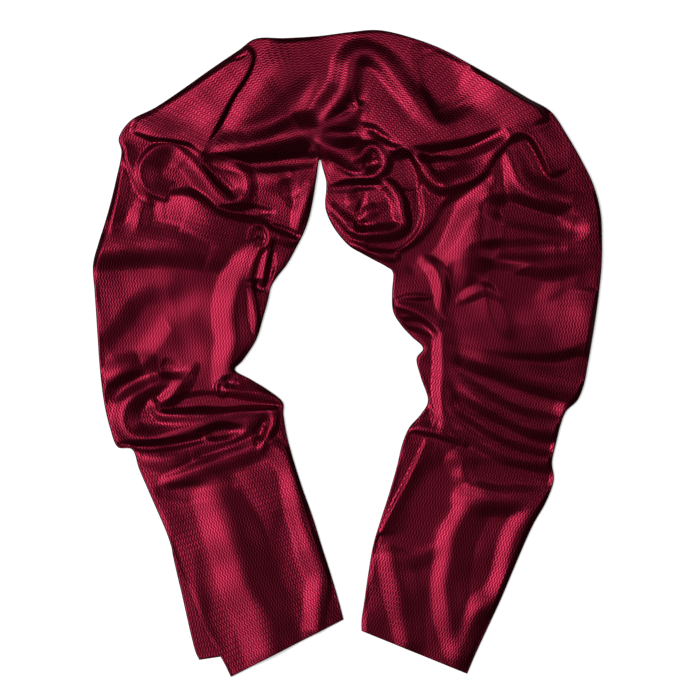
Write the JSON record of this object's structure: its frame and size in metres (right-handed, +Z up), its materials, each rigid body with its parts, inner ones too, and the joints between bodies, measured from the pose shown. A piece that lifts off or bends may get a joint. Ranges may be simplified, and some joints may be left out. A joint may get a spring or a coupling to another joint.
{
  "type": "scarf",
  "caption": "Long satin scarf laid flat in an arch, folded lengthwise in the tails and loosely gathered round the curve, with rolling folds and plain hems.",
  "frame": {"origin": "on the ground, under the middle of the scarf's outline", "axes": "+X to the right, +Y from the tails towards the crown, +Z up from the surface it lies on"},
  "size_m": [0.51, 0.6475, 0.0123],
  "materials": {
    "satin": "burgundy jacquard satin, fine zigzag weave, strong soft sheen",
    "satin_hidden": "the same satin in shade"
  },
  "bodies": {
    "root": {"left_tail": "satin", "left_tail_under": "satin", "left_arm": "satin", "crown": "satin", "right_arm": "satin", "right_tail": "satin", "hidden_layers_left_arm": "satin_hidden", "hidden_layers_crown": "satin_hidden", "hidden_layers_right_arm": "satin_hidden", "hidden_layers_right_tail": "satin_hidden"}
  },
  "joints": []
}
